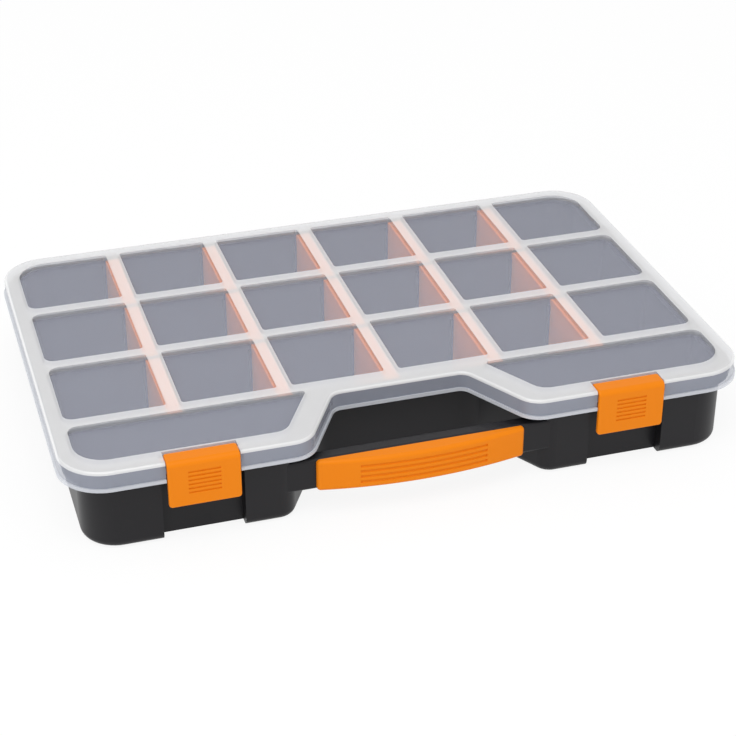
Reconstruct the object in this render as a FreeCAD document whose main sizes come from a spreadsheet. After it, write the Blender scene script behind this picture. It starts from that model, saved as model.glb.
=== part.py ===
import FreeCAD, Part
import math
import os

import Sketcher

# Compartment parts box: a black tray with fixed row walls and loose dividers,
# a clear lid hinged at the back, two snap latches and a handle in front.
# X runs to the right, Y to the back and Z up from the face that the box rests on.

COLUMNS = 6
ROWS = 3
SIDES = {"left": -1, "right": 1}
TOLERANCE = 1e-4

# Driving sizes in millimetres, one cell of the sheet each.
SIZES = {
    # Grid of compartments
    "column_pitch": 64.0,
    "row_pitch": 66.8,
    "row_wall": 2.4,
    # Tray
    "tray_wall": 2.5,
    "tray_floor": 2.5,
    "side_inset": 5.0,
    "end_inset": 4.2,
    "front_inset": 3.2,
    "back_inset": 3.8,
    "tray_corner_radius": 21.0,
    "tray_bottom_radius": 4.5,
    "cell_radius": 3.0,
    "floor_radius": 2.0,
    "collar_lift": 1.0,
    # Lid
    "box_height": 52.2,
    "lid_height": 12.0,
    "lid_wall": 2.0,
    "lid_plate": 2.0,
    "lid_corner_radius": 26.0,
    "lid_edge_radius": 1.8,
    "lip_reach": 1.0,
    "lip_height": 2.0,
    "rim_gap": 0.6,
    "seat_gap": 0.3,
    # Windows sunk into the lid
    "window_recess": 3.0,
    "window_panel": 1.5,
    "pan_wall": 1.2,
    "column_strip": 8.9,
    "row_strip": 7.6,
    "side_border": 9.5,
    "back_border": 8.9,
    "front_border": 12.7,
    "notch_border": 15.3,
    "window_corner_radius": 18.0,
    "pocket_bend_radius": 11.0,
    "window_end_radius": 6.0,
    "window_radius": 2.0,
    # Notch for the fingers
    "notch_depth": 44.0,
    "notch_back_width": 79.0,
    "notch_front_width": 129.0,
    "notch_ledge": 9.3,
    "notch_side_inset": 11.0,
    "lid_notch_radius": 8.0,
    "lid_lobe_radius": 16.0,
    "tray_notch_radius": 12.0,
    "tray_lobe_radius": 11.0,
    # Handle bar of the tray
    "bar_inset": 4.0,
    "bar_depth": 9.0,
    "bar_bottom": 16.2,
    "bar_height": 19.5,
    "bar_span": 168.0,
    "bar_skin": 2.2,
    "bar_hollow_length": 112.0,
    "bar_edge_radius": 2.0,
    # Grip on the handle bar
    "grip_length": 122.0,
    "grip_end_depth": 2.6,
    "grip_bow": 6.6,
    "grip_edge_radius": 2.2,
    "grip_key_length": 96.0,
    "grip_key_depth": 1.4,
    "grip_key_height": 9.0,
    "grip_key_gap": 0.1,
    "groove_radius": 0.8,
    "groove_pitch": 3.4,
    "groove_sweep": 15.0,
    # Latches
    "latch_spacing": 249.0,
    "latch_width": 40.3,
    "latch_plate": 2.2,
    "latch_front_height": 28.4,
    "latch_proud": 0.4,
    "latch_reach": 2.2,
    "latch_gap": 0.4,
    "latch_fold_radius": 3.2,
    "latch_edge_radius": 0.8,
    "latch_corner_radius": 2.0,
    "barrel_radius": 3.2,
    "barrel_sink": 0.2,
    "barrel_gap": 0.5,
    "latch_pin_radius": 1.4,
    "latch_pin_length": 1.6,
    "pivot_gap": 0.05,
    "ridge_width": 18.0,
    "ridge_pitch": 2.6,
    "ridge_height": 1.1,
    "ridge_depth": 0.5,
    "ridge_drop": 6.5,
    "cheek": 2.0,
    "latch_box_floor": 1.4,
    # Latch recess and catch of the tray
    "recess_width": 46.0,
    "recess_depth": 8.0,
    "recess_rim_gap": 0.8,
    "catch_width": 24.0,
    "catch_reach": 6.9,
    "catch_height": 3.0,
    "catch_bottom": 33.2,
    "bead_width": 22.0,
    "bead_height": 2.4,
    "bead_gap": 0.4,
    # Hinges at the back
    "hinge_spacing": 220.0,
    "hinge_width": 40.0,
    "tray_knuckle": 10.0,
    "knuckle_radius": 3.2,
    "knuckle_gap": 0.3,
    "hinge_lift": 1.0,
    "hinge_pin_radius": 1.2,
    "web_rise": 2.0,
    "bracket_height": 12.5,
    "bracket_gap": 0.5,
    "bracket_chamfer": 6.5,
    # Loose dividers and the ribs that hold them
    "divider_width": 9.0,
    "divider_wall": 1.8,
    "divider_gap": 0.3,
    "divider_edge_radius": 0.8,
    "rib_width": 1.6,
    "rib_depth": 1.8,
    "rib_drop": 4.0,
    # How far a cut runs past the face that it opens
    "overrun": 5.0,
}

RIDGES = 6
GROOVES = 4

# Marks a step of a pattern that keeps to its pitch.
EVEN = -1.0


class Term:
    """A length worked out from the sheet: a formula to bind and its value to pick edges by."""

    def __init__(self, text, value):
        self.text = text
        self.value = value

    def __add__(self, other):
        if other is ZERO:
            return self
        return Term(f"({self.text} + {other.text})", self.value + other.value)

    def __sub__(self, other):
        if other is ZERO:
            return self
        return Term(f"({self.text} - {other.text})", self.value - other.value)

    def __neg__(self):
        return Term(f"(-1 * {self.text})", -self.value)

    def __mul__(self, other):
        if other == 0:
            return ZERO
        if isinstance(other, Term):
            return Term(f"({self.text} * {other.text})", self.value * other.value)
        return Term(f"({self.text} * {other})", self.value * other)

    __rmul__ = __mul__

    def __truediv__(self, other):
        if isinstance(other, Term):
            return Term(f"({self.text} / {other.text})", self.value / other.value)
        return Term(f"({self.text} / {other})", self.value / other)

    def root(self):
        """The square root of the term."""
        return Term(f"sqrt({self.text})", math.sqrt(self.value))


ZERO = Term("0", 0.0)
ONE = Term("1", 1.0)

doc = FreeCAD.newDocument("compartment_parts_box")
sheet = doc.addObject("Spreadsheet::Sheet", "Sizes")
for line_number, (alias, millimetres) in enumerate(SIZES.items(), start=1):
    sheet.set(f"A{line_number}", alias)
    sheet.set(f"B{line_number}", str(millimetres))
    sheet.setAlias(f"B{line_number}", alias)
doc.recompute()


def size(alias):
    """A driving size of the sheet as a term."""
    return Term(f"Sizes.{alias}", float(sheet.get(alias)))


# Places that several pieces share.
cell_half_width = COLUMNS / 2 * size("column_pitch")
cell_reach = cell_half_width - size("end_inset")
half_width = cell_half_width + size("tray_wall") + size("side_inset")
back_build_up = size("back_inset") + size("tray_wall")
half_depth = (back_build_up + ROWS * size("row_pitch") + size("notch_ledge") + size("notch_depth")) / 2
cells_back = half_depth - back_build_up
notch_back = size("notch_depth") - half_depth
notch_slope = (size("notch_front_width") - size("notch_back_width")) / 2 / size("notch_depth")
notch_slant = (ONE + notch_slope * notch_slope).root()
notch_run = notch_slope / notch_slant
notch_rise = ONE / notch_slant
wide_spread = notch_slant + notch_slope
tight_spread = notch_slant - notch_slope

skirt_bottom = size("box_height") - size("lid_height")
plate_underside = size("box_height") - size("lid_plate")
panel_top = size("box_height") - size("window_recess")
panel_underside = panel_top - size("window_panel")
tray_rim = panel_underside - size("seat_gap")

window_half_width = half_width - size("side_border")
window_back = half_depth - size("back_border")
window_front = size("front_border") - half_depth

latch_top = size("box_height") + size("latch_proud")
latch_front = -half_depth - size("latch_reach")
pivot_y = window_front - size("pan_wall") - size("barrel_gap") - size("barrel_radius")
pivot_z = latch_top - size("barrel_radius") - size("barrel_sink")
latch_box_top = pivot_z - size("barrel_radius") - size("barrel_gap")
latch_box_bottom = latch_box_top - size("latch_box_floor")
latch_opening_half = size("latch_width") / 2 + size("latch_gap")
recess_face = size("front_inset") + size("recess_depth") - half_depth
catch_front = recess_face - size("catch_reach")

hinge_y = half_depth + size("lip_reach") + size("knuckle_gap") + size("knuckle_radius")
hinge_z = skirt_bottom + size("hinge_lift")
pin_bore_radius = size("hinge_pin_radius") + size("pivot_gap")

bar_front = size("bar_inset") - half_depth


def row_wall_front(row):
    """Front face of the wall in front of a row, counted from 1 at the back."""
    return cells_back - row * size("row_pitch")


def column_line(column):
    """Middle line of the divider to the right of a column, counted from 1 at the left."""
    return (column - COLUMNS / 2) * size("column_pitch")


def notch_side(depth, inset):
    """Half width of the notch at a depth, its sides moved outwards by an inset."""
    return size("notch_back_width") / 2 + notch_slope * (notch_back - depth) + inset * notch_slant


class Corner:
    """A corner of a plan loop, rounded where it has a radius.

    The directions before and after lead to the corners on either side, and the spread is the
    tangent of half the angle between them.
    """

    def __init__(self, x, y, before, after, radius=None, spread=ONE):
        self.x = x
        self.y = y
        self.before = before
        self.after = after
        self.radius = radius
        self.spread = spread

    def meeting(self, direction):
        """Where the rounding meets the side that leaves in a direction."""
        if self.radius is None:
            return self.x, self.y
        run = self.radius if self.spread is ONE else self.radius / self.spread
        return self.x + run * direction[0], self.y + run * direction[1]

    def centre(self):
        """The present centre of the rounding."""
        halfway = [number(a) + number(b) for a, b in zip(self.before, self.after)]
        spread = self.spread.value
        share = self.radius.value * math.hypot(1, spread) / spread / math.hypot(*halfway)
        return FreeCAD.Vector(self.x.value + halfway[0] * share, self.y.value + halfway[1] * share, 0)


def number(item):
    """The present value of a term or a plain number."""
    return item.value if isinstance(item, Term) else item


def box_outline(insets, radii):
    """Corners of the box in plan, with the notch, each face moved inwards by its inset."""
    side, front, back, ledge, notch_inset = insets
    outer, lobe, notch = radii
    wide = half_width - side
    front_y = front - half_depth
    back_y = half_depth - back
    notch_y = notch_back + ledge
    lobe_x = notch_side(front_y, notch_inset)
    notch_x = notch_side(notch_y, notch_inset)
    return [
        Corner(wide, back_y, (0, -1), (-1, 0), outer),
        Corner(-wide, back_y, (1, 0), (0, -1), outer),
        Corner(-wide, front_y, (0, 1), (1, 0), outer),
        Corner(-lobe_x, front_y, (-1, 0), (notch_run, notch_rise), lobe, wide_spread),
        Corner(-notch_x, notch_y, (-notch_run, -notch_rise), (1, 0), notch, wide_spread),
        Corner(notch_x, notch_y, (-1, 0), (notch_run, -notch_rise), notch, wide_spread),
        Corner(lobe_x, front_y, (-notch_run, notch_rise), (1, 0), lobe, wide_spread),
        Corner(wide, front_y, (-1, 0), (0, 1), outer),
    ]


def lid_outline(inset):
    """The lid's outline moved inwards all round, with its roundings kept concentric."""
    convex = [size("lid_corner_radius") - inset, size("lid_lobe_radius") - inset]
    return box_outline([inset] * 5, convex + [size("lid_notch_radius") + inset])


def rectangle(left, right, front, back, radii=(None, None, None, None)):
    """Corners of a rectangle, from the left front one around by the right."""
    return [
        Corner(left, front, (0, 1), (1, 0), radii[0]),
        Corner(right, front, (-1, 0), (0, 1), radii[1]),
        Corner(right, back, (0, -1), (-1, 0), radii[2]),
        Corner(left, back, (1, 0), (0, -1), radii[3]),
    ]


def beside_notch(side, wide, front, back, inset, radii):
    """Corners of a loop beside the notch, from its bend at the front outwards."""
    bend, far, end, near = radii
    front_x = notch_side(front, inset)
    back_x = notch_side(back, inset)
    slant_back = (-side * notch_run, notch_rise)
    slant_front = (side * notch_run, -notch_rise)
    return [
        Corner(side * front_x, front, slant_back, (side, 0), bend, wide_spread),
        Corner(side * wide, front, (-side, 0), (0, 1), far),
        Corner(side * wide, back, (0, -1), (-side, 0), end),
        Corner(side * back_x, back, (side, 0), slant_front, near, tight_spread),
    ]


def body_named(label):
    """A new body with its label."""
    body = doc.addObject("PartDesign::Body", label)
    body.Label = label
    return body


def place(body, x=ZERO, y=ZERO, z=ZERO):
    """Bind the place of a sub-part to the sheet."""
    for axis, term in zip("xyz", (x, y, z)):
        body.setExpression(f"Placement.Base.{axis}", term.text)


def new_sketch(body, name, plane, lift):
    """A sketch on one of the body's own origin planes, lifted along its normal."""
    sketch = body.newObject("Sketcher::SketchObject", name)
    support = next(item for item in body.Origin.OriginFeatures if item.Role == plane)
    sketch.AttachmentSupport = [(support, "")]
    sketch.MapMode = "FlatFace"
    sketch.setExpression("AttachmentOffset.Base.z", lift.text)
    return sketch


def vector(point):
    """A sketch point as a vector of its present values."""
    return FreeCAD.Vector(point[0].value, point[1].value, 0)


class Drawing:
    """The lines, arcs and constraints of a sketch, gathered and then put in at once."""

    def __init__(self):
        self.geometry = []
        self.constraints = []
        self.formulas = {}

    def join(self, first, first_end, second, second_end):
        """Hold two ends together."""
        self.constraints.append(Sketcher.Constraint("Coincident", first, first_end, second, second_end))

    def measure(self, kind, *where):
        """Hold a size of the sketch at a term, the last of the arguments."""
        term = where[-1]
        self.formulas[len(self.constraints)] = term.text
        self.constraints.append(Sketcher.Constraint(kind, *where[:-1], term.value))

    def pin(self, geometry, end, x, y):
        """Hold a point at its place."""
        self.measure("DistanceX", -1, 1, geometry, end, x)
        self.measure("DistanceY", -1, 1, geometry, end, y)

    def line(self, start, end):
        """Add a straight side and give its number."""
        self.geometry.append(Part.LineSegment(vector(start), vector(end)))
        return len(self.geometry) - 1

    def arc(self, start, end, centre, radius, joins):
        """Add the shorter arc between the ends of two sides."""
        first, second = [vector(point) - centre for point in (start, end)]
        forwards = first.cross(second).z > 0
        turns = [math.atan2(way.y, way.x) for way in ((first, second) if forwards else (second, first))]
        circle = Part.Circle(centre, FreeCAD.Vector(0, 0, 1), radius.value)
        self.geometry.append(Part.ArcOfCircle(circle, *turns))
        number_of_arc = len(self.geometry) - 1
        for join, end_of_arc in zip(joins, (1, 2) if forwards else (2, 1)):
            self.join(*join, number_of_arc, end_of_arc)
        self.measure("Radius", number_of_arc, radius)

    def circle(self, x, y, radius):
        """Add a whole circle."""
        self.geometry.append(Part.Circle(vector((x, y)), FreeCAD.Vector(0, 0, 1), radius.value))
        self.pin(len(self.geometry) - 1, 3, x, y)
        self.measure("Radius", len(self.geometry) - 1, radius)

    def loop(self, corners):
        """Add a closed loop of straight sides, with an arc at each rounded corner."""
        sides = []
        for corner, target in zip(corners, corners[1:] + corners[:1]):
            sides.append(self.line(corner.meeting(corner.after), target.meeting(target.before)))
        for corner, side, last in zip(corners, sides, sides[-1:] + sides[:-1]):
            start = corner.meeting(corner.before)
            end = corner.meeting(corner.after)
            self.pin(side, 1, *end)
            if corner.radius is None:
                self.join(last, 2, side, 1)
                continue
            self.pin(last, 2, *start)
            self.arc(start, end, corner.centre(), corner.radius, ((last, 2), (side, 1)))

    def put(self, sketch):
        """Put everything into a sketch."""
        held = sketch.ConstraintCount
        sketch.addGeometry(self.geometry, False)
        sketch.addConstraint(self.constraints)
        for index, formula in self.formulas.items():
            sketch.setExpression(f"Constraints[{held + index}]", formula)


def loops_sketch(body, name, loops, lift=ZERO):
    """A plan sketch of closed loops at a height."""
    sketch = new_sketch(body, name, "XY_Plane", lift)
    drawing = Drawing()
    for corners in loops:
        drawing.loop(corners)
    drawing.put(sketch)
    return sketch


def new_feature(body, kind, name):
    """A new feature of a body that leaves the merging of its faces to the body's last one."""
    feature = body.newObject(f"PartDesign::{kind}", name)
    feature.Refine = False
    return feature


def finish(body):
    """Merge the faces of a finished body and give the body."""
    body.Tip.Refine = True
    return body


def extrude(body, kind, name, sketch, length):
    """Pad or pocket a sketch upwards by a length."""
    feature = new_feature(body, kind, name)
    feature.Profile = sketch
    feature.setExpression("Length", length.text)
    feature.Reversed = kind == "Pocket"
    return feature


def prism(body, kind, name, loops, low, high):
    """Pad or pocket closed plan loops between two heights."""
    sketch = loops_sketch(body, f"{name}_sketch", loops, low)
    return extrude(body, kind, name, sketch, high - low)


def repeat(body, feature, across, along):
    """Repeat a pad or pocket over columns to the right and rows to the back."""
    if across * along == 1:
        return
    doc.recompute()
    pattern = new_feature(body, "LinearPattern", f"{feature.Name}_grid")
    pattern.Originals = [feature]
    sketch = feature.Profile[0]
    steps = (("", "H_Axis", "column_pitch", across), ("2", "V_Axis", "row_pitch", along))
    for suffix, axis, pitch, count in steps:
        setattr(pattern, f"Direction{suffix}", (sketch, [axis]))
        setattr(pattern, f"Mode{suffix}", "Spacing")
        pattern.setExpression(f"Offset{suffix}", size(pitch).text)
        setattr(pattern, f"Occurrences{suffix}", count)
        setattr(pattern, f"Spacings{suffix}", [EVEN] * max(count - 1, 1))
    body.Tip = pattern


def block(body, kind, name, low, high):
    """Add or cut a box between two corners."""
    feature = new_feature(body, f"{kind}Box", name)
    for axis, edge, start, end in zip("xyz", ("Length", "Width", "Height"), low, high):
        feature.setExpression(edge, (end - start).text)
        feature.setExpression(f"Placement.Base.{axis}", start.text)
    return feature


def rod(body, kind, name, radius, left, right, y, z):
    """Add or cut a round rod that runs along X."""
    feature = new_feature(body, f"{kind}Cylinder", name)
    feature.Placement = FreeCAD.Placement(FreeCAD.Vector(), FreeCAD.Rotation(FreeCAD.Vector(0, 1, 0), 90))
    feature.setExpression("Radius", radius.text)
    feature.setExpression("Height", (right - left).text)
    for axis, term in zip("xyz", (left, y, z)):
        feature.setExpression(f"Placement.Base.{axis}", term.text)
    return feature


def close(first, second):
    """Whether two values are the same length."""
    return abs(first - second) < TOLERANCE


def is_upright(edge):
    """Whether an edge is straight and runs along Z."""
    start, end = edge.Vertexes[0].Point, edge.Vertexes[-1].Point
    return close(start.x, end.x) and close(start.y, end.y) and not close(start.z, end.z)


def edges_at_corners(shape, corners, low, high):
    """Upright edges over the given plan corners, between two heights."""
    places = [vector(corner) for corner in corners]
    picked = []
    for edge in shape.Edges:
        point = edge.Vertexes[0].Point
        inside = low.value - TOLERANCE < edge.BoundBox.ZMin and edge.BoundBox.ZMax < high.value + TOLERANCE
        if inside and is_upright(edge):
            if any(close(point.x, corner.x) and close(point.y, corner.y) for corner in places):
                picked.append(edge)
    return picked


def edges_of_walls(shape, low, high, level):
    """Edges at a level of the faces that stand between two heights."""
    picked = []
    for face in shape.Faces:
        if close(face.BoundBox.ZMin, low.value) and close(face.BoundBox.ZMax, high.value):
            for edge in face.Edges:
                if close(edge.BoundBox.ZMin, level.value) and close(edge.BoundBox.ZMax, level.value):
                    picked.append(edge)
    return picked


def edges_along_x(shape, y, z):
    """Straight edges that run along X at a place in Y and Z."""
    picked = []
    for edge in shape.Edges:
        box = edge.BoundBox
        flat = close(box.YMin, box.YMax) and close(box.ZMin, box.ZMax)
        if flat and close(box.YMin, y.value) and close(box.ZMin, z.value):
            picked.append(edge)
    return picked


def dress(body, kind, name, amount, pick, *where):
    """Round or chamfer the edges that pick finds on the body's last feature."""
    doc.recompute()
    base = body.Tip
    wanted = pick(base.Shape, *where)
    names = []
    for number, edge in enumerate(base.Shape.Edges, start=1):
        if any(edge.isSame(other) for other in wanted):
            names.append(f"Edge{number}")
    feature = new_feature(body, kind, name)
    feature.Base = (base, names)
    feature.setExpression("Size" if kind == "Chamfer" else "Radius", amount.text)
    return feature


# Tray

def tray_cells():
    """Plan loops of the three rows and the two front pockets."""
    far = size("tray_corner_radius") - size("tray_wall")
    bend = size("tray_lobe_radius") - size("tray_wall")
    near = size("cell_radius")
    loops = []
    for row in range(1, ROWS + 1):
        front = row_wall_front(row) + size("row_wall")
        back = row_wall_front(row - 1)
        radii = (near, near, far, far) if row == 1 else (near, near, near, near)
        loops.append(rectangle(-cell_reach, cell_reach, front, back, radii))
    front = size("front_inset") + size("tray_wall") - half_depth
    back = row_wall_front(ROWS)
    inset = size("notch_side_inset") + size("tray_wall")
    for side in SIDES.values():
        loops.append(beside_notch(side, cell_reach, front, back, inset, (bend, far, near, near)))
    return loops


def add_bar(body):
    """Add the handle bar across the notch, before the cells are cut."""
    half = size("bar_span") / 2
    low = (-half, bar_front, size("bar_bottom"))
    high = (half, bar_front + size("bar_depth"), size("bar_bottom") + size("bar_height"))
    block(body, "Additive", "handle_bar", low, high)
    for name, y in (("front", low[1]), ("back", high[1])):
        for level, z in (("bottom", low[2]), ("top", high[2])):
            dress(body, "Fillet", f"bar_{name}_{level}", size("bar_edge_radius"), edges_along_x, y, z)


def hollow_bar(body):
    """Core the handle bar from below and cut the seat of the grip's key."""
    half = size("bar_hollow_length") / 2
    skin = size("bar_skin")
    back = bar_front + size("bar_depth")
    top = size("bar_bottom") + size("bar_height") - skin
    front = bar_front + size("grip_key_depth") + size("grip_key_gap") + skin
    core_low = (-half, front, size("bar_bottom") - size("overrun"))
    block(body, "Subtractive", "bar_core", core_low, (half, back - skin, top))
    gap = size("grip_key_gap")
    key_half = size("grip_key_length") / 2 + gap
    middle = size("bar_bottom") + size("bar_height") / 2
    key_rise = size("grip_key_height") / 2 + gap
    seat_low = (-key_half, bar_front - size("overrun"), middle - key_rise)
    seat_high = (key_half, bar_front + size("grip_key_depth") + gap, middle + key_rise)
    block(body, "Subtractive", "grip_seat", seat_low, seat_high)


def cut_cells(body):
    """Cut the rows and pockets, with rounded floors."""
    floor = size("tray_floor")
    prism(body, "Pocket", "cells", tray_cells(), floor, tray_rim + size("overrun"))
    dress(body, "Fillet", "cell_floors", size("floor_radius"), edges_of_walls, floor, tray_rim, floor)


def add_ribs(body):
    """Add the ribs that hold the ends of a divider and repeat them over the grid."""
    middle = column_line(1)
    inner = size("divider_width") / 2 + size("divider_gap")
    outer = inner + size("rib_width")
    front = row_wall_front(ROWS) + size("row_wall")
    back = row_wall_front(ROWS - 1)
    bury = size("row_wall") / 4
    loops = []
    for left, right in ((middle - outer, middle - inner), (middle + inner, middle + outer)):
        loops.append(rectangle(left, right, front - bury, front + size("rib_depth")))
        loops.append(rectangle(left, right, back - size("rib_depth"), back + bury))
    ribs = prism(body, "Pad", "divider_ribs", loops, size("tray_floor") / 2, tray_rim - size("rib_drop"))
    repeat(body, ribs, COLUMNS - 1, ROWS)


def cut_latch_recess(body, name, side):
    """Sink the front wall behind a latch and add the catch that the latch snaps under."""
    middle = side * size("latch_spacing") / 2
    half = size("recess_width") / 2
    outer = half + size("tray_wall")
    inner_face = recess_face + size("tray_wall")
    wall_inside = size("front_inset") + size("tray_wall") - half_depth
    back_low = (middle - outer, wall_inside - size("tray_wall") / 4, size("tray_floor"))
    block(body, "Additive", f"recess_wall_{name}", back_low, (middle + outer, inner_face, tray_rim))
    front = -half_depth - size("overrun")
    low = (middle - half, front, -size("overrun"))
    high = (middle + half, recess_face, tray_rim + size("overrun"))
    block(body, "Subtractive", f"recess_{name}", low, high)
    rim = latch_box_bottom - size("recess_rim_gap")
    rim_back = inner_face + size("tray_wall")
    block(body, "Subtractive", f"recess_rim_{name}", (low[0], front, rim), (high[0], rim_back, high[2]))
    reach = size("catch_width") / 2
    catch_low = (middle - reach, catch_front, size("catch_bottom"))
    catch_back = recess_face + size("tray_wall") / 2
    catch_high = (middle + reach, catch_back, size("catch_bottom") + size("catch_height"))
    block(body, "Additive", f"catch_{name}", catch_low, catch_high)


def add_tray_hinge(body, name, side):
    """Add the two brackets and knuckles of a hinge on the back wall."""
    middle = side * size("hinge_spacing") / 2
    half = size("hinge_width") / 2
    top = skirt_bottom - size("bracket_gap")
    bottom = top - size("bracket_height")
    wall = half_depth - size("back_inset") - size("tray_wall") / 2
    for end, left in (("a", middle - half), ("b", middle + half - size("tray_knuckle"))):
        right = left + size("tray_knuckle")
        block(body, "Additive", f"bracket_{name}_{end}", (left, wall, bottom), (right, hinge_y, top))
        slope = size("bracket_chamfer")
        dress(body, "Chamfer", f"gusset_{name}_{end}", slope, edges_along_x, hinge_y, bottom)
        rod(body, "Additive", f"knuckle_{name}_{end}", size("knuckle_radius"), left, right, hinge_y, hinge_z)
    past = half + size("overrun")
    rod(body, "Subtractive", f"bore_{name}", pin_bore_radius, middle - past, middle + past, hinge_y, hinge_z)


def make_tray():
    """The black tray with its walls, handle bar, latch recesses and hinge brackets."""
    body = body_named("base_tray")
    place(body)
    insets = [size("side_inset") + size("end_inset"), size("front_inset"), size("back_inset")]
    insets += [size("notch_ledge"), size("notch_side_inset")]
    radii = [size(f"tray_{name}_radius") for name in ("corner", "lobe", "notch")]
    prism(body, "Pad", "walls", [box_outline(insets, radii)], ZERO, tray_rim)
    dress(body, "Fillet", "bottom_edge", size("tray_bottom_radius"), edges_of_walls, ZERO, tray_rim, ZERO)
    collar_bottom = skirt_bottom + size("collar_lift")
    prism(body, "Pad", "collar", [lid_outline(size("lid_wall") + size("rim_gap"))], collar_bottom, tray_rim)

    add_bar(body)
    for name, side in SIDES.items():
        add_tray_hinge(body, name, side)
    cut_cells(body)
    hollow_bar(body)
    for name, side in SIDES.items():
        cut_latch_recess(body, name, side)
    add_ribs(body)
    return finish(body)


# Lid

def windows(grow):
    """Plan loops of the windows in the lid, each grown outwards, and how often each repeats."""
    names = ("window_corner_radius", "pocket_bend_radius", "window_end_radius", "window_radius")
    far, bend, end, near = [size(name) + grow for name in names]
    half_strip = size("column_strip") / 2
    wide = window_half_width + grow
    inner = column_line(1) - half_strip + grow
    found = []
    for row, along in ((1, 1), (ROWS, ROWS - 1)):
        middle = row_wall_front(row) + size("row_wall") / 2
        front = middle + size("row_strip") / 2 - grow
        back = middle - size("row_strip") / 2 + size("row_pitch") + grow
        outer = end
        if row == 1:
            back = window_back + grow
            outer = far
        start = column_line(1) + half_strip - grow
        stop = column_line(2) - half_strip + grow
        found.append((rectangle(start, stop, front, back, [near] * 4), COLUMNS - 2, along))
        found.append((rectangle(-wide, inner, front, back, (end, near, near, outer)), 1, along))
        found.append((rectangle(-inner, wide, front, back, (near, end, outer, near)), 1, along))
    front = window_front - grow
    back = row_wall_front(ROWS) + size("row_wall") / 2 - size("row_strip") / 2 + grow
    inset = size("notch_border") - grow
    for side in SIDES.values():
        found.append((beside_notch(side, wide, front, back, inset, (bend, far, end, near)), 1, 1))
    return found


def shape_windows(body, kind, name, grow, low, high):
    """Add the pans under the windows or cut the windows."""
    for step, (loop, across, along) in enumerate(windows(grow), start=1):
        feature = prism(body, kind, f"{name}_{step}", [loop], low, high)
        repeat(body, feature, across, along)


def add_latch_box(body, name, side):
    """Add the box in the front border that a latch sits in, with the bores of its pivot."""
    middle = side * size("latch_spacing") / 2
    outer = latch_opening_half + size("cheek")
    back = window_front - size("pan_wall")
    low = (middle - outer, size("lid_wall") / 2 - half_depth, latch_box_bottom)
    high = (middle + outer, window_front, plate_underside + size("lid_plate") / 2)
    block(body, "Additive", f"latch_box_{name}", low, high)
    front = -half_depth - size("overrun")
    cut_low = (middle - latch_opening_half, front, latch_box_top)
    cut_high = (middle + latch_opening_half, back, size("box_height") + size("overrun"))
    block(body, "Subtractive", f"latch_opening_{name}", cut_low, cut_high)
    skirt_low = (cut_low[0], front, skirt_bottom - size("overrun"))
    skirt_high = (cut_high[0], size("lid_wall") - half_depth, cut_high[2])
    block(body, "Subtractive", f"skirt_opening_{name}", skirt_low, skirt_high)
    bore = size("latch_pin_radius") + size("pivot_gap")
    rod(body, "Subtractive", f"latch_bore_{name}", bore, middle - outer, middle + outer, pivot_y, pivot_z)


def add_lid_hinge(body, name, side):
    """Add the knuckle of a hinge and the web that carries it on the back skirt."""
    middle = side * size("hinge_spacing") / 2
    half = size("hinge_width") / 2 - size("tray_knuckle") - size("knuckle_gap")
    left, right = middle - half, middle + half
    low = (left, half_depth - size("lid_wall") / 2, skirt_bottom)
    block(body, "Additive", f"web_{name}", low, (right, hinge_y, hinge_z + size("web_rise")))
    rod(body, "Additive", f"knuckle_{name}", size("knuckle_radius"), left, right, hinge_y, hinge_z)
    past = size("overrun")
    rod(body, "Subtractive", f"bore_{name}", pin_bore_radius, left - past, right + past, hinge_y, hinge_z)


def make_lid():
    """The clear lid: a skirted plate with sunk windows, latch boxes and hinge knuckles."""
    body = body_named("lid")
    place(body)
    top = size("box_height")
    prism(body, "Pad", "shell", [lid_outline(ZERO)], skirt_bottom, top)
    dress(body, "Fillet", "top_edge", size("lid_edge_radius"), edges_of_walls, skirt_bottom, top, top)
    lip_top = skirt_bottom + size("lip_height")
    prism(body, "Pad", "lip", [lid_outline(-size("lip_reach"))], skirt_bottom, lip_top)
    below = skirt_bottom - size("overrun")
    prism(body, "Pocket", "cavity", [lid_outline(size("lid_wall"))], below, plate_underside)
    for name, side in SIDES.items():
        add_latch_box(body, name, side)
        add_lid_hinge(body, name, side)
    shape_windows(body, "Pad", "pan", size("pan_wall"), panel_underside, plate_underside)
    shape_windows(body, "Pocket", "window", ZERO, panel_top, top + size("overrun"))
    return body


# Latches

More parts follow.
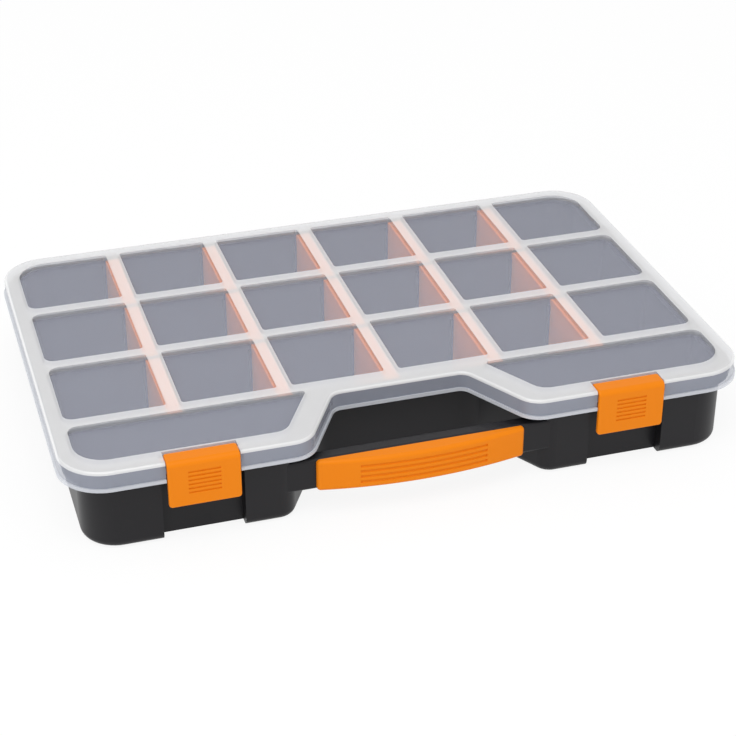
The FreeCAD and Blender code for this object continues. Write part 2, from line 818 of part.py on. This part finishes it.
def make_latch(name, side):
    """A latch: round pivot barrel, top plate, front plate, grip ridges, bead and stub pins."""
    body = body_named(f"latch_{name}")
    middle = side * size("latch_spacing") / 2
    place(body, x=middle)
    plate = size("latch_plate")
    bottom = latch_top - size("latch_front_height")
    under = latch_top - plate
    inner = latch_front + plate

    half = size("latch_width") / 2
    block(body, "Additive", "front_plate", (-half, latch_front, bottom), (half, inner, latch_top))
    block(body, "Additive", "top_plate", (-half, latch_front + plate / 2, under), (half, pivot_y, latch_top))
    finish(body)
    dress(body, "Fillet", "fold", size("latch_fold_radius"), edges_along_x, latch_front, latch_top)
    dress(body, "Fillet", "front_corners", size("latch_corner_radius"), foot_edges, half, bottom)
    dress(body, "Fillet", "front_rims", size("latch_edge_radius"), front_rim, latch_front, bottom)
    barrel_end = half - size("latch_edge_radius")
    rod(body, "Additive", "barrel", size("barrel_radius"), -barrel_end, barrel_end, pivot_y, pivot_z)

    ridge_top = latch_top - size("ridge_drop")
    reach = size("ridge_width") / 2
    for number in range(RIDGES):
        high = ridge_top - number * size("ridge_pitch")
        low = high - size("ridge_height")
        cut_low = (-reach, latch_front - size("overrun"), low)
        cut_high = (reach, latch_front + size("ridge_depth"), high)
        block(body, "Subtractive", f"ridge_{number + 1}", cut_low, cut_high)

    bead_top = size("catch_bottom") - size("bead_gap")
    bead_reach = size("bead_width") / 2
    bead_low = (-bead_reach, inner - plate / 2, bead_top - size("bead_height"))
    block(body, "Additive", "bead", bead_low, (bead_reach, catch_front - size("bead_gap"), bead_top))
    pin_end = half + size("latch_pin_length")
    rod(body, "Additive", "stub_pins", size("latch_pin_radius"), -pin_end, pin_end, pivot_y, pivot_z)
    return finish(body)


def foot_edges(shape, half, bottom):
    """Short edges through the front plate at its two lower corners."""
    picked = []
    for edge in shape.Edges:
        box = edge.BoundBox
        level = close(box.ZMin, bottom.value) and close(box.ZMax, bottom.value)
        if level and close(box.XMin, box.XMax) and close(abs(box.XMin), half.value):
            picked.append(edge)
    return picked


def front_rim(shape, front, bottom):
    """One edge of the rim of the front face, from which the whole rim is rounded."""
    picked = []
    for edge in shape.Edges:
        box = edge.BoundBox
        if close(box.YMin, front.value) and close(box.YMax, front.value) and close(box.ZMin, bottom.value):
            picked.append(edge)
    return picked


# Handle grip

def make_grip():
    """The soft grip: straight against the bar, bowed out in front, with grooves and a key."""
    body = body_named("handle_grip")
    bottom = size("bar_bottom")
    top = bottom + size("bar_height")
    place(body)
    half = size("grip_length") / 2
    end_front = bar_front - size("grip_end_depth")
    bow = size("grip_bow")
    arc_radius = (half * half + bow * bow) / (2 * bow)
    points = [(-half, end_front), (-half, bar_front), (half, bar_front), (half, end_front)]

    sketch = new_sketch(body, "plan", "XY_Plane", bottom)
    crown = (ZERO, end_front - bow)
    centre_y = crown[1] + arc_radius
    drawing = Drawing()
    for start, end in zip(points, points[1:]):
        drawing.pin(drawing.line(start, end), 1, *start)
    drawing.join(0, 2, 1, 1)
    drawing.join(1, 2, 2, 1)
    drawing.pin(2, 2, *points[3])
    drawing.arc(points[3], points[0], vector((ZERO, centre_y)), arc_radius, ((2, 2), (0, 1)))
    drawing.put(sketch)
    extrude(body, "Pad", "grip", sketch, size("bar_height"))
    corners = [points[0], points[3]]
    dress(body, "Fillet", "end_corners", size("grip_edge_radius"), edges_at_corners, corners, bottom, top)
    for name, level in (("top", top), ("bottom", bottom)):
        dress(body, "Fillet", f"{name}_edge", size("grip_edge_radius"), grip_rim, level)

    profile = new_sketch(body, "groove_profile", "YZ_Plane", ZERO)
    middle = bottom + size("bar_height") / 2
    rings = Drawing()
    for step in range(GROOVES):
        level = middle + (step - (GROOVES - 1) / 2) * size("groove_pitch")
        rings.circle(crown[1], level, size("groove_radius"))
    rings.put(profile)
    axis = Drawing()
    axis_line = Part.LineSegment(vector((centre_y, bottom)), vector((centre_y, top)))
    axis_number = profile.addGeometry(axis_line, True)
    axis.pin(axis_number, 1, centre_y, bottom)
    axis.pin(axis_number, 2, centre_y, top)
    axis.put(profile)
    doc.recompute()
    groove = new_feature(body, "Groove", "grooves")
    groove.Profile = profile
    groove.ReferenceAxis = (profile, ["Axis0"])
    groove.Midplane = True
    groove.setExpression("Angle", size("groove_sweep").text)

    key_half = size("grip_key_length") / 2
    key_rise = size("grip_key_height") / 2
    key_low = (-key_half, bar_front - size("grip_end_depth") / 2, middle - key_rise)
    block(body, "Additive", "key", key_low, (key_half, bar_front + size("grip_key_depth"), middle + key_rise))
    return body


def grip_rim(shape, level):
    """Edges of the grip's front and ends at its top or bottom."""
    picked = []
    for edge in shape.Edges:
        box = edge.BoundBox
        flat = close(box.ZMin, level.value) and close(box.ZMax, level.value)
        along_bar = close(box.YMin, bar_front.value) and close(box.YMax, bar_front.value)
        if flat and not along_bar:
            picked.append(edge)
    return picked


# Dividers

def make_divider(row, column):
    """A loose divider: a hollow upright wall that stands on the floor between its ribs."""
    body = body_named(f"divider_row{row}_col{column}")
    middle_y = row_wall_front(row) + (size("row_wall") + size("row_pitch")) / 2
    place(body, x=column_line(column), y=middle_y, z=size("tray_floor"))
    half_x = size("divider_width") / 2
    half_y = (size("row_pitch") - size("row_wall")) / 2 - size("divider_gap")
    height = tray_rim - size("tray_floor")
    block(body, "Additive", "wall", (-half_x, -half_y, ZERO), (half_x, half_y, height))
    foot = size("floor_radius") + size("divider_gap")
    for end, y in (("front", -half_y), ("back", half_y)):
        dress(body, "Chamfer", f"foot_{end}", foot, edges_along_x, y, ZERO)
    dress(body, "Fillet", "top_edges", size("divider_edge_radius"), top_edges, height)
    skin = size("divider_wall")
    inner_y = half_y - skin - foot
    core_low = (skin - half_x, -inner_y, -size("overrun"))
    block(body, "Subtractive", "core", core_low, (half_x - skin, inner_y, height - skin))
    return body


def top_edges(shape, level):
    """All edges at a level."""
    picked = []
    for edge in shape.Edges:
        if close(edge.BoundBox.ZMin, level.value) and close(edge.BoundBox.ZMax, level.value):
            picked.append(edge)
    return picked


# Hinge pins

def make_hinge_pin(name, side):
    """A plain pin through the three knuckles of a hinge."""
    pin = doc.addObject("Part::Cylinder", f"hinge_pin_{name}")
    pin.Label = f"hinge_pin_{name}"
    pin.Placement = FreeCAD.Placement(FreeCAD.Vector(), FreeCAD.Rotation(FreeCAD.Vector(0, 1, 0), 90))
    pin.setExpression("Radius", size("hinge_pin_radius").text)
    pin.setExpression("Height", size("hinge_width").text)
    place(pin, side * size("hinge_spacing") / 2 - size("hinge_width") / 2, hinge_y, hinge_z)
    return pin


sub_parts = [make_tray(), make_lid(), make_grip()]
for side_name, side_sign in SIDES.items():
    sub_parts.append(make_latch(side_name, side_sign))
    sub_parts.append(make_hinge_pin(side_name, side_sign))
for row_number in range(1, ROWS + 1):
    for column_number in range(1, COLUMNS):
        sub_parts.append(make_divider(row_number, column_number))
doc.recompute()

failed = [item.Label for item in doc.Objects if "Invalid" in item.State or "Error" in item.State]
if failed:
    raise RuntimeError(f"failed features: {failed}")
for part in sub_parts:
    if part.Shape.isNull() or not part.Shape.isValid() or len(part.Shape.Solids) != 1:
        raise RuntimeError(f"{part.Label} is not one valid solid")

os.makedirs("parts", exist_ok=True)
for part in sub_parts:
    part.Shape.exportStep(f"parts/{part.Label}.step")
    box = part.Shape.BoundBox
    print(f"{part.Label}: {part.Shape.Volume:.0f} mm3, z {box.ZMin:.2f} to {box.ZMax:.2f}")
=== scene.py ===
"""Dresses the compartment parts box: finishes on its CAD nodes, a pale studio and the camera."""
from __future__ import annotations

import logging
import math
from dataclasses import dataclass
from enum import Enum

import bmesh
import bpy
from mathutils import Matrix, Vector

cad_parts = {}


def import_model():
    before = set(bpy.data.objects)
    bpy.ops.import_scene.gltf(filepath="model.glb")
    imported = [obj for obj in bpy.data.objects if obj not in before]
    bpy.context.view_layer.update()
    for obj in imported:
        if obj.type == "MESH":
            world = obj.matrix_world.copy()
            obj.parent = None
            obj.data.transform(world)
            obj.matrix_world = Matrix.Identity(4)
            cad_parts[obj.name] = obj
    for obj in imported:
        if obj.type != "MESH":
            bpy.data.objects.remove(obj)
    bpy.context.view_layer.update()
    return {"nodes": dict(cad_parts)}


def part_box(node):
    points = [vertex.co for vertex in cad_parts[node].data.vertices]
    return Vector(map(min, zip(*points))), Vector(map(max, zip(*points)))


LOG = logging.getLogger("parts_box")
MM = 0.001
WHITE = "#ffffff"


def linear(hex_colour: str) -> tuple[float, float, float, float]:
    """Turn an sRGB hex colour into linear light, by the sRGB standard's own curve.

    Args:
        hex_colour: The colour as six hex digits after a hash.

    Returns:
        Red, green, blue and a full alpha.
    """
    shares = [int(hex_colour[place:place + 2], 16) / 255 for place in (1, 3, 5)]
    light = [s / 12.92 if s <= 0.04045 else ((s + 0.055) / 1.055) ** 2.4 for s in shares]
    return light[0], light[1], light[2], 1.0


def add_node(material: bpy.types.Material | bpy.types.World, kind: str, links: dict | None = None,
             **settings: object) -> bpy.types.Node:
    """Add a shader node with its settings and the sockets that feed it.

    Args:
        material: The material or world that gets the node.
        kind: The node's type name.
        links: Input names or numbers to the sockets that feed them.
        settings: Attributes of the node, or input values where the name is no attribute.

    Returns:
        The new node.
    """
    tree = material.node_tree
    node = tree.nodes.new(kind)
    for name, value in settings.items():
        if hasattr(node, name):
            setattr(node, name, value)
        else:
            node.inputs[name.replace("_", " ").title()].default_value = value
    for name, socket in (links or {}).items():
        tree.links.new(socket, node.inputs[name])
    return node


def seen_rays(material: bpy.types.Material | bpy.types.World) -> bpy.types.NodeSocket:
    """Tell the rays that show the background from those that only light the box.

    Args:
        material: The floor's material or the world.

    Returns:
        A socket that is 1 for camera, glossy and transmission rays and 0 for the others.
    """
    path = add_node(material, "ShaderNodeLightPath")
    socket = path.outputs["Is Camera Ray"]
    for kind in ("Is Glossy Ray", "Is Transmission Ray"):
        socket = add_node(material, "ShaderNodeMath", {0: socket, 1: path.outputs[kind]},
                          operation="MAXIMUM").outputs[0]
    return socket


def surface(name: str, colour: str, roughness: float) -> tuple[bpy.types.Material, bpy.types.Node]:
    """Start a material from its colour and roughness.

    Args:
        name: The material's name.
        colour: Its sRGB hex colour.
        roughness: Its roughness, from 0 for polished to 1 for matt.

    Returns:
        The new material and its Principled shader.
    """
    material = bpy.data.materials.new(name)
    material.use_nodes = True
    shader = material.node_tree.nodes["Principled BSDF"]
    shader.inputs["Base Color"].default_value = linear(colour)
    shader.inputs["Roughness"].default_value = roughness
    return material, shader


@dataclass(frozen=True)
class Plastic:
    """A moulded plastic: its colour, gloss, how much of it shows, and its fine grain."""

    name: str
    colour: str
    roughness: float
    opacity: float = 1.0
    ior: float = 1.49
    specular: float = 0.5
    grain_mm: float = 0.0
    grain_depth_mm: float = 0.1
    grain_strength: float = 0.05
    grain_detail: float = 2.0

    def material(self) -> bpy.types.Material:
        """Build the material.

        Returns:
            A new material with one Principled shader.
        """
        material, shader = surface(self.name, self.colour, self.roughness)
        shader.inputs["IOR"].default_value = self.ior
        shader.inputs["Specular IOR Level"].default_value = self.specular
        shader.inputs["Alpha"].default_value = self.opacity
        if self.grain_mm:
            place = add_node(material, "ShaderNodeTexCoord")
            grain = add_node(material, "ShaderNodeTexNoise", {"Vector": place.outputs["Object"]},
                             scale=1 / (self.grain_mm * MM), detail=self.grain_detail)
            bump = add_node(material, "ShaderNodeBump", {"Height": grain.outputs["Fac"]},
                            strength=self.grain_strength, distance=self.grain_depth_mm * MM)
            material.node_tree.links.new(bump.outputs["Normal"], shader.inputs["Normal"])
        return material


@dataclass(frozen=True)
class DrawnSteel:
    """Plain drawn steel wire."""

    name: str
    colour: str
    roughness: float

    def material(self) -> bpy.types.Material:
        """Build the material.

        Returns:
            A new metal material.
        """
        material, shader = surface(self.name, self.colour, self.roughness)
        shader.inputs["Metallic"].default_value = 1.0
        return material


# Black polypropylene, moulded in a finely eroded tool: satin, with soft highlights on its edges.
# The real grain is about a tenth of a millimetre, too fine to show, so it is drawn coarser.
TRAY_PLASTIC = Plastic("black_moulded_polypropylene", "#1b1a1d", 0.38, specular=0.28, grain_mm=0.9)
# Orange ABS from a polished tool: even colour and a soft gloss.
ORANGE_PLASTIC = Plastic("orange_moulded_abs", "#ea8209", 0.4, specular=0.14)
# Orange polystyrene of the loose dividers: flat and even, paler where the milky lid covers it.
DIVIDER_PLASTIC = Plastic("orange_moulded_polystyrene", "#ff9630", 0.5, specular=0.3)
# Bright steel wire, drawn through a die: grey, with soft highlights.
PIN_STEEL = DrawnSteel("drawn_steel_wire", "#b9babd", 0.32)


class LidZone(Enum):
    """Parts of the one clear moulding, by how milky the plastic looks there; some zones carry
    painted light: shade on the skirt, highlights on the lip and the rounded edge, a reflection in
    the panes.
    """

    # Thick strips from a blasted part of the tool: a white haze that mutes what lies below.
    FRAME = Plastic("milky_polypropylene_frame", "#fdfdfe", 0.36, opacity=0.47)
    # Thin panes from a polished part of the tool: a faint cold veil over the compartments, partly
    # the panes' own haze and partly a painted reflection of the bright room.
    WINDOW = Plastic("clear_polypropylene_window_haze_and_painted_reflection", "#e9edff", 0.16, opacity=0.195)
    # Steps round the panes, seen at a slant: a little milkier than the panes.
    STEP = Plastic("clear_polypropylene_step", "#eef0f5", 0.2, opacity=0.32)
    # The upright skirt, with the black tray close behind it: painted shade, a cool grey darker
    # than the white of the rest of the moulding.
    SKIRT = Plastic("clear_polypropylene_skirt_painted_shade", "#b0b5c3", 0.22, opacity=0.46)
    # The lip at the foot of the skirt, seen edge on: a pale line, a painted highlight in a paler,
    # denser copy of the plastic than the skirt above it.
    LIP = Plastic("polypropylene_lip_painted_highlight", "#e4e7ee", 0.3, opacity=0.58)
    # The rounded outer edge: a bright line, partly real gloss and partly a painted highlight in a
    # whiter, denser copy of the frame's plastic.
    HIGHLIGHT_EDGE = Plastic("glossy_polypropylene_edge_painted_highlight", WHITE, 0.18, opacity=0.62, specular=0.9)


@dataclass
class Lid:
    """The clear lid, whose sunk windows are clearer than its frame."""

    node: bpy.types.Object
    window_recess: float = 3.0 * MM
    window_panel: float = 1.5 * MM
    edge_radius: float = 1.8 * MM
    skirt_height: float = 12.0 * MM
    lip_height: float = 2.0 * MM
    slack: float = 0.2 * MM
    upright_share: float = 0.05

    def zone(self, polygon: bpy.types.MeshPolygon, top: float) -> LidZone:
        """Tell which part of the moulding a face belongs to.

        Args:
            polygon: A face of the lid's mesh.
            top: Height of the lid's frame.

        Returns:
            The zone of the face.
        """
        vertices = self.node.data.vertices
        heights = [vertices[index].co.z for index in polygon.vertices]
        lowest, highest = min(heights), max(heights)
        level = abs(polygon.normal.z) > 1 - self.upright_share
        upright = abs(polygon.normal.z) < self.upright_share
        panel_top = top - self.window_recess
        panel_underside = panel_top - self.window_panel
        skirt_bottom = top - self.skirt_height
        lip_top = skirt_bottom + self.lip_height
        # The lip's faces get its painted highlight line.
        if lowest > skirt_bottom - self.slack and highest < lip_top + self.slack:
            return LidZone.LIP
        # The skirt's faces get its painted shade, a grey copy of the plastic.
        if lowest < panel_underside - self.slack:
            return LidZone.SKIRT
        # The panes get their veil: partly haze, partly painted reflection.
        if level and highest < panel_top + self.slack:
            return LidZone.WINDOW
        if upright:
            return LidZone.STEP
        # The rounded top edge gets the painted highlight line.
        if not level and lowest > top - self.edge_radius - self.slack:
            return LidZone.HIGHLIGHT_EDGE
        return LidZone.FRAME

    def dress(self) -> None:
        """Give every face of the lid the finish of its zone."""
        mesh = self.node.data
        mesh.materials.clear()
        zones = list(LidZone)
        for zone in zones:
            mesh.materials.append(zone.value.material())
        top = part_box("lid")[1][2]
        for polygon in mesh.polygons:
            polygon.material_index = zones.index(self.zone(polygon, top))
        LOG.info("lid dressed in %d zones", len(zones))


@dataclass(frozen=True)
class PieceGroup:
    """Opaque pieces of one material, which share a finish."""

    name_starts: tuple[str, ...]
    finish: Plastic | DrawnSteel

    def dress(self, nodes: dict[str, bpy.types.Object]) -> None:
        """Give every piece of the group its finish.

        Args:
            nodes: The CAD nodes by name.
        """
        material = self.finish.material()
        for name, node in nodes.items():
            if name.startswith(self.name_starts):
                node.data.materials.clear()
                node.data.materials.append(material)
                LOG.info("%s dressed in %s", name, material.name)


OPAQUE_GROUPS = (
    PieceGroup(("base_tray",), TRAY_PLASTIC),
    PieceGroup(("latch", "handle_grip"), ORANGE_PLASTIC),
    PieceGroup(("divider",), DIVIDER_PLASTIC),
    PieceGroup(("hinge_pin",), PIN_STEEL),
)


@dataclass
class Studio:
    """A pale floor, soft light and the camera of the photograph. Lengths are in metres."""

    floor_width: float = 12.0
    floor_glow_share: float = 0.88
    sky_strength: float = 0.74
    key_power: float = 14.5
    key_width: float = 1.4
    key_place: tuple[float, float, float] = (-0.5, -0.7, 1.6)
    camera_place_mm: tuple[float, float, float] = (-282.1, -941.7, 591.5)
    camera_yaw: float = 17.105
    camera_pitch: float = 30.483
    camera_reach: float = 50.0
    focal_px: float = 1838.16
    frame_px: float = 736.0
    sensor_mm: float = 36.0

    def build(self) -> None:
        """Make the floor, the lights and the camera."""
        self.build_world()
        self.build_floor()
        self.build_key()
        self.build_camera()
        bpy.context.scene.view_settings.view_transform = "Standard"

    def build_world(self) -> None:
        """Light the box softly from all round, and show plain white behind it."""
        world = bpy.data.worlds.new("pale_studio")
        world.use_nodes = True
        bpy.context.scene.world = world
        world.node_tree.nodes.clear()
        strength = add_node(world, "ShaderNodeMapRange", {"Value": seen_rays(world)})
        strength.inputs["To Min"].default_value = self.sky_strength
        strength.inputs["To Max"].default_value = 1.0
        sky = add_node(world, "ShaderNodeBackground", {"Strength": strength.outputs[0]})
        sky.inputs["Color"].default_value = linear(WHITE)
        add_node(world, "ShaderNodeOutputWorld", {"Surface": sky.outputs[0]})

    def build_floor(self) -> None:
        """Lay a wide floor of white paper."""
        shape = bmesh.new()
        bmesh.ops.create_grid(shape, x_segments=1, y_segments=1, size=self.floor_width / 2)
        mesh = bpy.data.meshes.new("studio_floor")
        shape.to_mesh(mesh)
        shape.free()
        mesh.materials.append(self.floor_paper())
        floor = bpy.data.objects.new("studio_floor", mesh)
        bpy.context.collection.objects.link(floor)

    def floor_paper(self) -> bpy.types.Material:
        """Build the floor's material: matt white paper that stays white and keeps a soft shadow.

        Returns:
            A new material, part paper and part plain white.
        """
        material = bpy.data.materials.new("pale_paper_floor")
        material.use_nodes = True
        material.node_tree.nodes.clear()
        paper = add_node(material, "ShaderNodeBsdfDiffuse")
        paper.inputs["Color"].default_value = linear(WHITE)
        glow = add_node(material, "ShaderNodeEmission")
        glow.inputs["Color"].default_value = linear(WHITE)
        seen = add_node(material, "ShaderNodeMath", {0: seen_rays(material)}, operation="MULTIPLY")
        seen.inputs[1].default_value = self.floor_glow_share
        mixed = add_node(material, "ShaderNodeMixShader",
                         {0: seen.outputs[0], 1: paper.outputs[0], 2: glow.outputs[0]})
        add_node(material, "ShaderNodeOutputMaterial", {"Surface": mixed.outputs[0]})
        return material

    def build_key(self) -> None:
        """Hang one wide soft lamp above the front left of the box."""
        lamp = bpy.data.lights.new("key_softbox", "AREA")
        lamp.energy = self.key_power
        lamp.size = self.key_width
        key = bpy.data.objects.new("key_softbox", lamp)
        bpy.context.collection.objects.link(key)
        key.location = self.key_place
        key.rotation_euler = (-Vector(self.key_place)).to_track_quat("-Z", "Y").to_euler()

    def build_camera(self) -> None:
        """Place the camera of the photograph."""
        lens = bpy.data.cameras.new("photo_camera")
        lens.sensor_width = self.sensor_mm
        lens.lens = self.focal_px / self.frame_px * self.sensor_mm
        lens.clip_end = self.camera_reach
        camera = bpy.data.objects.new("photo_camera", lens)
        bpy.context.collection.objects.link(camera)
        camera.location = Vector(self.camera_place_mm) * MM
        tilt = math.radians(90 - self.camera_pitch)
        camera.rotation_euler = (tilt, 0.0, math.radians(-self.camera_yaw))
        bpy.context.scene.camera = camera


def main() -> None:
    """Load the frame, dress its pieces and set up the studio."""
    logging.basicConfig(level=logging.INFO)
    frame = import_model()
    nodes = frame["nodes"]
    for group in OPAQUE_GROUPS:
        group.dress(nodes)
    Lid(nodes["lid"]).dress()
    Studio().build()


if __name__ == "__main__":
    main()
